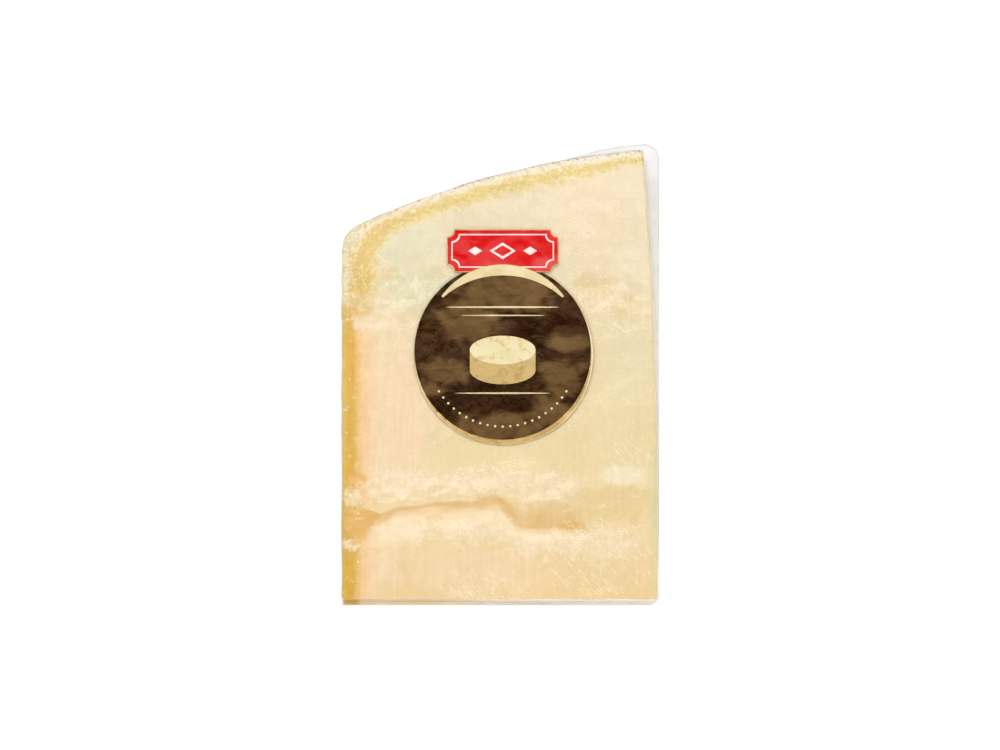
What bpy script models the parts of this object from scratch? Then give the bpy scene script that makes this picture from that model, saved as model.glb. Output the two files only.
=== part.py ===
"""A wedge of hard cheese in a clear vacuum pack, lying on one of its two radial cut faces.

The wedge comes from a tall cheese wheel whose axis runs along X. The wheel's flat rind side is at -X
and the cut across the wheel's middle is at +X. +Y points from the trimmed tip to the barrel rind,
and +Z is up. The upper radial face carries the label. The origin is under the middle of the pack.
"""

import math

import bmesh
import bpy
from mathutils import Matrix, Vector, noise

MM = 0.001

# The wheel and how the wedge was cut from it
WEDGE_ANGLE = math.radians(18)
TIP_RADIUS = 60.0 * MM
FLAT_RIND_X = -55.7 * MM
MIDDLE_CUT_X_AT_TIP = 56.0 * MM
MIDDLE_CUT_LEANS = 1.0 * MM
MIDDLE_CUT_BENDS = 4.5 * MM
BARREL_CROWN_X = 76.5 * MM
BARREL_CROWN_RADIUS = 219.3 * MM
BARREL_PROFILE_RADIUS = 304.0 * MM
RIND_CORNER_RADIUS = 5.4 * MM
EDGE_RADIUS = 1.3 * MM
PACK_MIDDLE_Y = 139.24 * MM

# The clear flange where the two films are sealed, halfway between the two radial faces
FLANGE_THICKNESS = 0.8 * MM
FLANGE_LEFT_X = -56.9 * MM
FLANGE_RIGHT_X_AT_TIP = 56.25 * MM
FLANGE_RIGHT_X_AT_RIND = 56.93 * MM
FLANGE_BEYOND_TIP = 2.3 * MM
FLANGE_BEYOND_RIND = (1.3 * MM, 5.6 * MM)
FLANGE_WIDENS_OVER_X = 45.0 * MM
FLANGE_CORNERS = {"tip_left": 1.5 * MM, "tip_right": 4.0 * MM, "rind_right": 5.2 * MM, "rind_left": 5.4 * MM}

# The broken valley across the front face: points (x, height), in mm, with heights measured up the face
# from the tip edge. Its widths are those of its upper and its lower wall. At the left the upper wall is
# the steep one, and at the right the lower wall.
VALLEY_PATH = (
    (-54, 19), (-43, 29), (-34, 32), (-22, 33.5), (-10, 33.8), (-2, 35.5), (8, 25.5), (30, 25), (54, 27),
)
VALLEY_DEPTH = 1.6 * MM
VALLEY_LEFT_WIDTHS = (2.0 * MM, 7.0 * MM)
VALLEY_RIGHT_WIDTHS = (9.0 * MM, 3.0 * MM)
VALLEY_STARTS_OVER_X = (-50.0 * MM, -41.0 * MM)
VALLEY_TURNS_OVER_X = (-2.0 * MM, 8.0 * MM)
VALLEY_FADES_OVER_X = (26.0 * MM, 36.0 * MM)
VALLEY_FADED_SHARE = 0.1
VALLEY_BREAK_LENGTH = 9.0 * MM

# Two bands of crags on the front face: the height of each band's middle, and half its width
LOWER_CRAGS = (35.0 * MM, 13.0 * MM)
UPPER_CRAGS = (105.0 * MM, 9.0 * MM)
UPPER_CRAG_SHARE = 0.8
LOWER_CRAGS_FADE_OVER_X = (24.0 * MM, 34.0 * MM)
LOWER_CRAGS_FADED_SHARE = 0.2
CRAG_SIZE = 6.0 * MM
CRAG_HEIGHT = 0.7 * MM

# Soft waves: how wide they are, and how high
FRONT_WAVES = (26.0 * MM, 0.35 * MM)
BARREL_WAVES = (13.0 * MM, 0.45 * MM)
SIDE_WAVES = (9.0 * MM, 0.25 * MM)

# The relief fades out towards the face's edges, and round the label, over these distances
FADE_AT_EDGES = (0.5 * MM, 5.0 * MM)
FADE_AT_DISC = (1.0 * MM, 6.0 * MM)
FADE_AT_PLAQUE = 8.0 * MM

# The label, placed by the middle of its round field
LABEL_X = 1.1 * MM
LABEL_HEIGHT_ON_FACE = 87.0 * MM
LABEL_GAP = 0.35 * MM
LABEL_LAYER = 0.18 * MM
DISC_RADIUS = 30.9 * MM
RIM_RADIUS = 31.5 * MM
RIM_SHIFT = (0.4 * MM, -1.3 * MM)
PLAQUE_SIZE = (38.5 * MM, 14.4 * MM)
PLAQUE_CENTRE_Y = 35.2 * MM
PLAQUE_SCOOP = 2.6 * MM
BAND_RADII = (26.6 * MM, 30.4 * MM)
BAND_HALF_ANGLE = math.radians(48)
BAND_END_WIDTH = 0.2
WHEEL_MOTIF_CENTRE_Y = -3.0 * MM
WHEEL_MOTIF_RADII = (11.5 * MM, 5.0 * MM)
WHEEL_MOTIF_DEPTH = 7.0 * MM

# The grid of cells over the wedge: its lines lie closer together at the edges and over the valley
COLUMNS = 38
ROWS = 60
LAYERS = 8
CROWDED_AT_EDGES = 2.0
CROWDED_AT_VALLEY = 1.5
CROWDED_EDGE_SHARE = 0.05
CROWDED_VALLEY_SHARE = 0.14
FLAT_TOLERANCE = 1e-5
ROUND_SIDES = 72


def clear_scene():
    for thing in list(bpy.data.objects):
        bpy.data.objects.remove(thing, do_unlink=True)


def material(name, colour, roughness, metallic=0.0):
    made = bpy.data.materials.new(name)
    made.use_nodes = True
    shader = made.node_tree.nodes["Principled BSDF"]
    shader.inputs["Base Color"].default_value = (*colour, 1.0)
    shader.inputs["Roughness"].default_value = roughness
    shader.inputs["Metallic"].default_value = metallic
    return made


def blend(low, high, share):
    return low + (high - low) * share


def smooth_step(low, high, value):
    share = min(max((value - low) / (high - low), 0.0), 1.0)
    return share * share * (3 - 2 * share)


def bump(value, centre, half_width):
    """1 at the centre, falling smoothly to 0 at half_width on either side."""
    return 1 - smooth_step(0.0, half_width, abs(value - centre))


def spaced(count, density, samples=400):
    """count + 1 positions from 0 to 1, closer together where density(position) is high."""
    reached = [0.0]
    for i in range(samples):
        reached.append(reached[-1] + density((i + 0.5) / samples))
    found = []
    at = 0
    for n in range(count + 1):
        wanted = reached[-1] * n / count
        while at < samples - 1 and reached[at + 1] < wanted:
            at += 1
        found.append((at + (wanted - reached[at]) / (reached[at + 1] - reached[at])) / samples)
    return found


def tip_radius(angle):
    """Distance from the axis to the trimmed tip, which is cut square to the front face."""
    return TIP_RADIUS / math.cos(WEDGE_ANGLE / 2 - angle)


def middle_cut_x(b):
    """The cut across the wheel's middle, which leans and bends a little from the tip, 0, to the rind, 1."""
    return MIDDLE_CUT_X_AT_TIP - MIDDLE_CUT_LEANS * b - MIDDLE_CUT_BENDS * b**3


def barrel_radius(x):
    """The wheel's barrel side: a shallow arc, rounded where it turns into the flat rind."""
    offset = x - BARREL_CROWN_X
    arc = math.sqrt(BARREL_PROFILE_RADIUS**2 - offset**2)
    radius = BARREL_CROWN_RADIUS - BARREL_PROFILE_RADIUS + arc
    inside = RIND_CORNER_RADIUS - (x - FLAT_RIND_X)
    if inside > 0:
        inside = min(inside, RIND_CORNER_RADIUS)
        radius -= RIND_CORNER_RADIUS - math.sqrt(RIND_CORNER_RADIUS**2 - inside**2)
    return radius


def valley_height(x):
    """How far above the tip edge the broken valley runs, at this x."""
    for (x0, y0), (x1, y1) in zip(VALLEY_PATH, VALLEY_PATH[1:]):
        if x <= x1 * MM:
            break
    return blend(y0, y1, smooth_step(x0 * MM, x1 * MM, x)) * MM


def valley_relief(x, height):
    """The valley's groove, deep in some stretches and shallow in others."""
    across = height - valley_height(x)
    wall = 0 if across > 0 else 1
    turned = smooth_step(*VALLEY_TURNS_OVER_X, x)
    width = blend(VALLEY_LEFT_WIDTHS[wall], VALLEY_RIGHT_WIDTHS[wall], turned)
    depth = VALLEY_DEPTH * (0.55 + 0.45 * noise.noise(Vector((x / VALLEY_BREAK_LENGTH, 1.7, 0.0))))
    depth *= blend(1.0, VALLEY_FADED_SHARE, smooth_step(*VALLEY_FADES_OVER_X, x))
    depth *= smooth_step(*VALLEY_STARTS_OVER_X, x)
    return -depth * math.exp(-((across / width) ** 2))


def crag_relief(x, height):
    """Broken, blocky relief from two scales of cells, in the two craggy bands."""
    place = Vector((x / CRAG_SIZE, height / (CRAG_SIZE * 0.7), 3.0))
    coarse = noise.voronoi(place)[0][0]
    fine = noise.noise(place * 2.3)
    lower = blend(1.0, LOWER_CRAGS_FADED_SHARE, smooth_step(*LOWER_CRAGS_FADE_OVER_X, x))
    band = max(lower * bump(height, *LOWER_CRAGS), UPPER_CRAG_SHARE * bump(height, *UPPER_CRAGS))
    return CRAG_HEIGHT * band * (0.7 - 1.2 * coarse + 0.4 * fine)


def waves(place, size_and_height):
    size, height = size_and_height
    return height * noise.noise(place / size)


def clear_of_label(x, height):
    """0 under the label and 1 well away from it."""
    reach = math.hypot(x - LABEL_X, height - LABEL_HEIGHT_ON_FACE)
    off_disc = smooth_step(RIM_RADIUS + FADE_AT_DISC[0], RIM_RADIUS + FADE_AT_DISC[1], reach)
    beside = bump(x, LABEL_X, PLAQUE_SIZE[0] / 2 + FADE_AT_PLAQUE)
    level = bump(height, LABEL_HEIGHT_ON_FACE + PLAQUE_CENTRE_Y, PLAQUE_SIZE[1] / 2 + FADE_AT_PLAQUE)
    return off_disc * (1 - beside * level)


def front_relief(x, height):
    """How far the front face stands above its flat plane."""
    relief = valley_relief(x, height) + crag_relief(x, height)
    relief += waves(Vector((x, height, 0.0)), FRONT_WAVES)
    top = barrel_radius(x) - TIP_RADIUS
    right = middle_cut_x(height / top)
    near_edge = min(x - FLAT_RIND_X, right - x, height, top - height)
    return relief * clear_of_label(x, height) * smooth_step(*FADE_AT_EDGES, near_edge)


def wedge_point(a, b, c):
    """A point of the rounded wedge: a along the wheel's axis, b from tip to rind, c from back to front."""
    right = middle_cut_x(b)
    x = blend(FLAT_RIND_X, right, a)
    half_angle = WEDGE_ANGLE / 2
    tip = tip_radius(c * half_angle)
    rind = barrel_radius(x)
    radius = blend(tip, rind, b)
    half_arc = radius * half_angle
    along = c * half_arc
    inner = Vector(
        (
            min(max(x, FLAT_RIND_X + EDGE_RADIUS), right - EDGE_RADIUS),
            min(max(radius, tip + EDGE_RADIUS), rind - EDGE_RADIUS),
            min(max(along, EDGE_RADIUS - half_arc), half_arc - EDGE_RADIUS),
        )
    )
    x, radius, along = inner + EDGE_RADIUS * (Vector((x, radius, along)) - inner).normalized()
    angle = along / radius
    return Vector((x, radius * math.cos(angle), radius * math.sin(angle)))


def to_world():
    """From the wheel's own frame, where the wedge is split evenly by the XY plane, to the resting pack."""
    return Matrix.Translation((0, -PACK_MIDDLE_Y, 0)) @ Matrix.Rotation(WEDGE_ANGLE / 2, 4, "X")


def surface_grid(shape, at):
    """The six sides of a box of cells as one closed quad mesh, each corner of a cell placed by at(i, j, k)."""
    mesh = bmesh.new()
    corners = {}

    def corner(*index):
        if index not in corners:
            corners[index] = mesh.verts.new(at(*index))
        return corners[index]

    for axis in range(3):
        first, second = (axis + 1) % 3, (axis + 2) % 3
        for end in (0, shape[axis]):
            for m in range(shape[first]):
                for n in range(shape[second]):
                    ring = []
                    for dm, dn in ((0, 0), (1, 0), (1, 1), (0, 1)):
                        index = [0, 0, 0]
                        index[axis], index[first], index[second] = end, m + dm, n + dn
                        ring.append(corner(*index))
                    mesh.faces.new(ring if end else ring[::-1])
    return mesh, corners


def cheese_wedge():
    """The wrapped cheese as one closed body: relief on the front face, soft waves on the other sides."""
    valley = LOWER_CRAGS[0] / (BARREL_CROWN_RADIUS - TIP_RADIUS)

    def crowded(t):
        near_edge = bump(t, 0.0, CROWDED_EDGE_SHARE) + bump(t, 1.0, CROWDED_EDGE_SHARE)
        return 1 + CROWDED_AT_EDGES * near_edge

    columns = spaced(COLUMNS, crowded)
    rows = spaced(ROWS, lambda t: crowded(t) + CROWDED_AT_VALLEY * bump(t, valley, CROWDED_VALLEY_SHARE))
    layers = spaced(LAYERS, crowded)

    def at(i, j, k):
        return wedge_point(columns[i], rows[j], 2 * layers[k] - 1)

    mesh, corners = surface_grid((COLUMNS, ROWS, LAYERS), at)
    mesh.normal_update()
    moves = []
    for (i, j, k), vertex in corners.items():
        x, radius = vertex.co.x, math.hypot(vertex.co.y, vertex.co.z)
        if k == LAYERS:
            move = front_relief(x, radius - TIP_RADIUS)
        elif k > 0:
            move = waves(vertex.co, BARREL_WAVES if j == ROWS else SIDE_WAVES)
        else:
            move = 0.0
        moves.append((vertex, vertex.normal * move))
    for vertex, move in moves:
        vertex.co += move
    flat = {v for v in mesh.verts if abs(math.atan2(v.co.z, v.co.y) + WEDGE_ANGLE / 2) < FLAT_TOLERANCE}
    back = [face for face in mesh.faces if flat.issuperset(face.verts)]
    return mesh, back


def rounded_corner(corner, before, after, radius, steps=8):
    """Points of the arc that rounds the corner between the directions to its two neighbours."""
    toward_before = (before - corner).normalized()
    toward_after = (after - corner).normalized()
    half = toward_before.angle(toward_after) / 2
    start = corner + toward_before * radius / math.tan(half)
    end = corner + toward_after * radius / math.tan(half)
    centre = corner + (toward_before + toward_after).normalized() * radius / math.sin(half)
    points = []
    for n in range(steps + 1):
        spoke = (start - centre).lerp(end - centre, n / steps)
        points.append(centre + radius * spoke.normalized())
    return points


def flange_outline(steps=24):
    """The flange's edge in the wheel's frame, as points (x, distance from the axis), anticlockwise."""
    rind_edge = []
    for n in range(steps + 1):
        x = blend(FLANGE_RIGHT_X_AT_RIND, FLANGE_LEFT_X, n / steps)
        beyond = blend(*FLANGE_BEYOND_RIND, smooth_step(0.0, FLANGE_WIDENS_OVER_X, x))
        body_x = min(max(x, FLAT_RIND_X + RIND_CORNER_RADIUS), middle_cut_x(1.0))
        rind_edge.append(Vector((x, barrel_radius(body_x) + beyond)))
    tip_edge = tip_radius(0.0) - FLANGE_BEYOND_TIP
    tip_left = Vector((FLANGE_LEFT_X, tip_edge))
    tip_right = Vector((FLANGE_RIGHT_X_AT_TIP, tip_edge))
    outline = rounded_corner(tip_left, rind_edge[-1], tip_right, FLANGE_CORNERS["tip_left"])
    outline += rounded_corner(tip_right, tip_left, rind_edge[0], FLANGE_CORNERS["tip_right"])
    outline += rounded_corner(rind_edge[0], tip_right, rind_edge[1], FLANGE_CORNERS["rind_right"])
    outline += rind_edge[2:-2]
    outline += rounded_corner(rind_edge[-1], rind_edge[-2], tip_left, FLANGE_CORNERS["rind_left"])
    return outline


def plate(outline, low, high):
    """A closed plate between two heights, from an anticlockwise outline of (x, y) points."""
    mesh = bmesh.new()
    floor = [mesh.verts.new((p[0], p[1], low)) for p in outline]
    roof = [mesh.verts.new((p[0], p[1], high)) for p in outline]
    mesh.faces.new(floor[::-1])
    mesh.faces.new(roof)
    for n in range(len(outline)):
        after = (n + 1) % len(outline)
        mesh.faces.new((floor[n], floor[after], roof[after], roof[n]))
    return mesh


def add_object(name, mesh, finish, collection=None):
    data = bpy.data.meshes.new(name)
    mesh.to_mesh(data)
    mesh.free()
    data.materials.append(finish)
    made = bpy.data.objects.new(name, data)
    (collection or bpy.context.scene.collection).objects.link(made)
    return made


def union_with(target, collection, keep_materials=False):
    """Joins the collection's objects to the target with one applied Boolean, then removes them."""
    joining = target.modifiers.new("join", "BOOLEAN")
    joining.operation = "UNION"
    joining.solver = "EXACT"
    joining.operand_type = "COLLECTION"
    joining.collection = collection
    joining.material_mode = "TRANSFER" if keep_materials else "INDEX"
    graph = bpy.context.evaluated_depsgraph_get()
    joined = bpy.data.meshes.new_from_object(target.evaluated_get(graph))
    target.modifiers.remove(joining)
    target.data = joined
    for thing in list(collection.objects):
        bpy.data.objects.remove(thing, do_unlink=True)
    bpy.data.collections.remove(collection)


def helper_collection(name):
    made = bpy.data.collections.new(name)
    bpy.context.scene.collection.children.link(made)
    return made


def shade(obj):
    obj.data.shade_smooth()
    obj.data.set_sharp_from_angle(angle=math.radians(40))


def build_pack():
    """The sealed bag with the cheese inside it, as one solid out to the film."""
    finish = material("cheese_in_film", (0.90, 0.71, 0.42), 0.3)
    wedge, back = cheese_wedge()
    bmesh.ops.dissolve_faces(wedge, faces=back, use_verts=True)
    pack = add_object("sealed_pack", wedge, finish)
    parts = helper_collection("pack_parts")
    half = FLANGE_THICKNESS / 2
    add_object("flange", plate(flange_outline(), -half, half), finish, parts)
    union_with(pack, parts)
    pack.data.transform(to_world())
    shade(pack)


def circle(radius, centre=(0.0, 0.0)):
    turns = [2 * math.pi * n / ROUND_SIDES for n in range(ROUND_SIDES)]
    return [(centre[0] + radius * math.cos(t), centre[1] + radius * math.sin(t)) for t in turns]


def plaque_outline(steps=6):
    """A rectangle whose corners are scooped out by quarter circles, anticlockwise."""
    half_x, half_y = PLAQUE_SIZE[0] / 2, PLAQUE_SIZE[1] / 2
    points = []
    for sign_x, sign_y, start in ((-1, -1, 90), (1, -1, 180), (1, 1, 270), (-1, 1, 0)):
        for n in range(steps + 1):
            turn = math.radians(start - 90 * n / steps)
            x = sign_x * half_x + PLAQUE_SCOOP * math.cos(turn)
            y = PLAQUE_CENTRE_Y + sign_y * half_y + PLAQUE_SCOOP * math.sin(turn)
            points.append((x, y))
    return points


def band_outline(steps=28):
    """A strip that follows the top of the round field, thinner towards its two ends."""
    middle = sum(BAND_RADII) / 2
    half_width = (BAND_RADII[1] - BAND_RADII[0]) / 2
    outer, inner = [], []
    for n in range(steps + 1):
        turn = blend(BAND_HALF_ANGLE, -BAND_HALF_ANGLE, n / steps)
        swell = blend(BAND_END_WIDTH, 1.0, math.cos(turn / BAND_HALF_ANGLE * math.pi / 2))
        for points, radius in ((outer, middle + half_width * swell), (inner, middle - half_width * swell)):
            points.append((radius * math.sin(turn), radius * math.cos(turn)))
    return outer + inner[::-1]


def wheel_motif_outline(sides=24):
    """A small drawn cheese wheel: the side wall and the lid seen from above, as one field."""
    radius_x, radius_y = WHEEL_MOTIF_RADII
    points = []
    for half_turn, side in ((0.0, 1), (math.pi, -1)):
        centre = WHEEL_MOTIF_CENTRE_Y + side * WHEEL_MOTIF_DEPTH / 2
        for n in range(sides + 1):
            turn = half_turn + math.pi * n / sides
            points.append((radius_x * math.cos(turn), centre + radius_y * math.sin(turn)))
    return points


def build_label():
    """The printed label: a rim, a dark round field, a plaque, a band and a motif, fused into one sheet."""
    gold = material("label_gold", (0.55, 0.36, 0.12), 0.35)
    dark = material("label_dark", (0.045, 0.022, 0.014), 0.25)
    red = material("label_red", (0.62, 0.01, 0.012), 0.3)
    cream = material("label_cream", (0.86, 0.74, 0.42), 0.4)
    label = add_object("label", plate(circle(RIM_RADIUS, RIM_SHIFT), 0.0, 2 * LABEL_LAYER), gold)
    fields = helper_collection("label_fields")
    layers = (
        ("dark_field", circle(DISC_RADIUS), dark, 3),
        ("red_plaque", plaque_outline(), red, 4),
        ("gold_band", band_outline(), gold, 5),
        ("wheel_motif", wheel_motif_outline(), cream, 4),
    )
    for name, outline, finish, layer in layers:
        add_object(name, plate(outline, 0.0, layer * LABEL_LAYER), finish, fields)
    union_with(label, fields, keep_materials=True)
    face_radius = TIP_RADIUS + LABEL_HEIGHT_ON_FACE
    on_face = Matrix.Translation((LABEL_X, face_radius, LABEL_GAP))
    tilt = Matrix.Rotation(WEDGE_ANGLE, 4, "X")
    label.matrix_world = Matrix.Translation((0, -PACK_MIDDLE_Y, 0)) @ tilt @ on_face
    shade(label)


clear_scene()
build_pack()
build_label()
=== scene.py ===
import math

import bmesh
import bpy
from mathutils import Matrix, Vector, geometry, noise


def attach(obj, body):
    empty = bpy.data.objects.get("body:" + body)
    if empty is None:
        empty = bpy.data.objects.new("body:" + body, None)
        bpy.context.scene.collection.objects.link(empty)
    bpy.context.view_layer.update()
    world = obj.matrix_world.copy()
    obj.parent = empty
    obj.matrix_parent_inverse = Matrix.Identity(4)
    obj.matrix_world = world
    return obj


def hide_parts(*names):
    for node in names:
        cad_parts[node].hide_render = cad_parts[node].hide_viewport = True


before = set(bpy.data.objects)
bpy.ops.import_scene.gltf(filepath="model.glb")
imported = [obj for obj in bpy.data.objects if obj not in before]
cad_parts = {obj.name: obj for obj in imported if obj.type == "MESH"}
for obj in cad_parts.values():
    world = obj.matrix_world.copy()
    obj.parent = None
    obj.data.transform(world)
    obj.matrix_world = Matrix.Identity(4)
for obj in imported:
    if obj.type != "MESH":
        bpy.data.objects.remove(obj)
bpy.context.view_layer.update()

MM = 0.001

# The wheel and how the wedge was cut from it, as in the solids
WEDGE_ANGLE = math.radians(18)
TIP_RADIUS = 60 * MM
FLAT_RIND_X = -55.7 * MM
MIDDLE_CUT_X_AT_TIP = 56 * MM
MIDDLE_CUT_LEANS = 1 * MM
MIDDLE_CUT_BENDS = 4.5 * MM
BARREL_CROWN_X = 76.5 * MM
BARREL_CROWN_RADIUS = 219.3 * MM
BARREL_PROFILE_RADIUS = 304 * MM
RIND_CORNER_RADIUS = 5.4 * MM
EDGE_RADIUS = 1.3 * MM
PACK_MIDDLE_Y = 139.24 * MM

# The flange, as in the solids
FLANGE_LEFT_X = -56.9 * MM
FLANGE_RIGHT_X_AT_TIP = 56.25 * MM
FLANGE_RIGHT_X_AT_RIND = 56.93 * MM
FLANGE_BEYOND_TIP = 2.3 * MM
FLANGE_BEYOND_RIND = (1.3 * MM, 5.6 * MM)
FLANGE_WIDENS_OVER_X = 45 * MM
# Its corner radii: left and right at the tip, then right and left at the rind
FLANGE_CORNERS = (1.5 * MM, 4 * MM, 5.2 * MM, 5.4 * MM)

# The relief of the front face, as in the solids but with a crisper and smoother valley
# The valley's line, in mm: (x, height)
VALLEY_PATH = (
    (-54, 19), (-43, 29), (-34, 32), (-22, 33.5), (-10, 33.8), (-2, 35.5), (8, 25.5), (30, 25), (54, 27),
)
VALLEY_DEPTH = 1.6 * MM
VALLEY_LEFT_WIDTHS = (1.2 * MM, 7 * MM)
VALLEY_RIGHT_WIDTHS = (9 * MM, 3 * MM)
VALLEY_STARTS_OVER_X = (-50 * MM, -41 * MM)
VALLEY_TURNS_OVER_X = (-2 * MM, 8 * MM)
VALLEY_FADES_OVER_X = (26 * MM, 36 * MM)
VALLEY_FADED_SHARE = 0.1
VALLEY_BREAK_LENGTH = 9 * MM
# Its amber colour is painted shade of the valley's hollow, and keeps closer to its line than the relief
# does
PAINTED_SHADE_LEFT_WIDTHS = (0.9 * MM, 2.8 * MM)
PAINTED_SHADE_RIGHT_WIDTHS = (7 * MM, 2.2 * MM)
LOWER_CRAGS = (35 * MM, 13 * MM)
UPPER_CRAGS = (105 * MM, 9 * MM)
UPPER_CRAG_SHARE = 0.8
LOWER_CRAGS_FADE_OVER_X = (24 * MM, 34 * MM)
LOWER_CRAGS_FADED_SHARE = 0.2
CRAG_SIZE = 6 * MM
CRAG_HEIGHT = 0.7 * MM
FRONT_WAVES = (26 * MM, 0.35 * MM)
BARREL_WAVES = (13 * MM, 0.45 * MM)
SIDE_WAVES = (9 * MM, 0.25 * MM)
# Fine pits of the crags and the crust, in the scene only: (size, depth)
PITS = ((2.4 * MM, 0.35 * MM), (1.1 * MM, 0.2 * MM))
# Where the relief fades out
FADE_AT_EDGES = (0.5 * MM, 5 * MM)
FADE_AT_DISC = (1 * MM, 6 * MM)
FADE_AT_PLAQUE = 8 * MM

# The two rinds' bands join, swell at their corner and thin out to the right
RIND_BLEND = 14 * MM
CRUST_DEPTH = 2.6 * MM
BAND_SWELL = 2.2
BAND_SWELLS_OVER_X = (-50 * MM, -32 * MM)
BAND_THINNED_SHARE = 0.55
BAND_THINS_OVER_X = (28 * MM, 46 * MM)

# The label, as in the solids
LABEL_X = 1.1 * MM
LABEL_HEIGHT_ON_FACE = 87 * MM
DISC_RADIUS = 30.9 * MM
RIM_RADIUS = 31.5 * MM
RIM_SHIFT = (0.4 * MM, -1.3 * MM)
PLAQUE_SIZE = (38.5 * MM, 14.4 * MM)
PLAQUE_CENTRE_Y = 35.2 * MM
PLAQUE_SCOOP = 2.6 * MM
BAND_RADII = (26.6 * MM, 30.4 * MM)
BAND_HALF_ANGLE = math.radians(48)
BAND_END_WIDTH = 0.2
WHEEL_MOTIF_CENTRE_Y = -3 * MM
WHEEL_MOTIF_RADII = (11.5 * MM, 5 * MM)
WHEEL_MOTIF_DEPTH = 7 * MM
# Thin lines: (height above the disc's centre, half length, half height)
TAPERED_RULES = (
    (15.5 * MM, 20 * MM, 0.35 * MM), (12.6 * MM, 15 * MM, 0.25 * MM), (-14.6 * MM, 17 * MM, 0.3 * MM),
)
DOTS = 21
DOT_RADIUS = 0.42 * MM
DOT_ARC_RADIUS = 26.3 * MM
DOT_ARC_HALF_ANGLE = math.radians(58)

# The cheese lies just inside the film, which clings closer at the tip
CHEESE_INSET = 0.35 * MM
TIP_INSET_SHARE = 1 / 3
# Its cells across, from tip to rind and from back to front
CHEESE_CELLS = (130, 190, 26)

# The film, and its fillet where it leaves the wall for the flange
FILM_COLUMNS = 120
FILM_ROWS = 170
FILM_WALL_STEPS = 14
FILM_FILLET_STEPS = 4
FILM_FLANGE_STEPS = 5
FLANGE_HALF_THICKNESS = 0.18 * MM
FILM_FILLET = 1.4 * MM
# Its soft waves, fine folds, wrinkled walls and puckered flange: (size, height)
FILM_BROAD_WAVES = (15 * MM, 0.16 * MM)
FILM_NARROW_WAVES = (5.5 * MM, 0.07 * MM)
FILM_FOLDS = (12 * MM, 0.05 * MM)
FILM_WALL_WRINKLES = (3.5 * MM, 0.2 * MM)
FLANGE_PUCKERS = (5 * MM, 0.35 * MM)
# Its haze starts at the left edge, and along the rind further right
HAZE_STARTS_OVER_X = (-56 * MM, -54 * MM)
RIND_HAZE_ABOVE = 120 * MM
RIND_HAZE_STARTS_OVER_X = (-20 * MM, 25 * MM)
# At the tip it turns from warm and dense to cool and sheer
TIP_HAZE_BELOW = 2 * MM
TIP_HAZE_TURNS_OVER_X = (-25 * MM, 5 * MM)

# The label's layers above the film
LABEL_LIFT = 0.3 * MM
LABEL_LAYER = 0.06 * MM
LABEL_CELL = 1.1 * MM

# The camera looks straight down on the front face, at the photograph's scale
PHOTO_WIDTH = 1000
SCALE_ON_FACE = 0.35 * MM
AIM_X = 0.16 * MM
AIM_HEIGHT = 78.75 * MM
CAMERA_LENS_MM = 200.0
CAMERA_SENSOR_MM = 36.0

# Each light: name, direction (away from the face, up it, right), distance, size, power
LIGHTS = (
    ("sheen", (1.0, 0.22, 0.0), 2.4, (1.3, 0.84), 19.0),
    ("key", (1.0, 0.85, -0.1), 1.7, (1.3, 0.8), 9.5),
    ("left_fill", (1.0, 0.2, -1.2), 1.7, (0.8, 1.2), 6.6),
    ("right_fill", (1.0, -0.1, 1.3), 1.7, (0.8, 1.2), 6.6),
    ("front_fill", (1.0, -1.1, 0.0), 1.7, (1.2, 0.7), 6.6),
)
ROOM_LIGHT = 0.2

# The floor lies just under the pack and glows a little
FLOOR_HALF_SIZE = 3.0
FLOOR_DROP = 0.4 * MM
FLOOR_GLOW = 0.9

# Soft ovals on the front face, in mm: (x, height, half width, half height)
FACE_SPOTS = {
    # Where the film has lifted off broken cheese and looks milky
    "milky": (
        (-32, 107, 17, 9), (-42, 97, 14, 4), (-26, 96, 14, 6), (-51, 36, 4.5, 5), (-34, 41, 20, 8),
        (-8, 41, 24, 8), (16, 40, 18, 8), (43.5, 43.5, 10, 5), (-34, 24, 17, 8), (-8, 25, 24, 8),
        (14, 20, 22, 7), (34, 20, 22, 9), (-52, 19.5, 4, 3), (36, 106, 12, 8), (46, 97, 9, 6),
        (-46, 97.5, 9, 4), (-33.5, 105, 5, 4), (-27.5, 110.5, 4.5, 3), (34, 117, 3.5, 3),
        (39, 107.5, 5, 2.2), (29, 107, 4, 3.5),
    ),
    # Where painted shade darkens the cheese, standing for the shade in the depths of breaks and along the
    # valley
    "dark": (
        (32, 110, 8, 6), (44, 101, 8, 7), (-48, 103, 5, 6), (18, 30, 15, 8), (-48, 27, 9, 10),
        (36, 108, 5, 4), (40, 34, 22, 10), (-4, 34, 8, 5), (37.5, 111.5, 5.5, 2.6), (45, 104.5, 5, 3),
        (-39, 114, 5, 3.5), (-22.5, 114, 5, 3.5),
    ),
    # Where it shows deep amber, its own colour save for the last spot, which is painted shade along the
    # valley's line; and where the film makes it smooth and pale
    "amber": ((-49.5, 26, 7, 8), (-49.5, 42, 5, 3.5), (-45.5, 28.5, 6, 4), (24.5, 26, 5, 1.3)),
    "pale": ((43.5, 43.5, 11, 5),),
    # Where the cheese has crumbled under the flat rind
    "crumbly": ((-52, 110, 8, 20), (-51.5, 36.5, 5.5, 6.5), (-53, 19.5, 4, 5)),
    # Where the film has fine slanting creases
    "creased": ((34, 16, 24, 18), (-6, 4, 20, 8), (46, 48, 9, 12)),
}
# Stretches that are warm and pinkish, above 0, or cool and greenish, below 0, by the last number
TINTED_SPOTS = (
    (-38, 68, 24, 36, 1.0), (-44, 10, 14, 14, 0.6), (-10, 10, 40, 14, 0.6), (-36, 130, 26, 20, -0.8),
    (-28, 108, 20, 10, -1.0), (44, 80, 14, 50, -0.4), (30, 52, 26, 12, -0.2), (30, 130, 24, 30, 0.3),
    (40, 15, 22, 16, 0.25), (42, 36, 16, 8, 0.1), (55, 34, 4, 40, -1.0),
)
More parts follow.
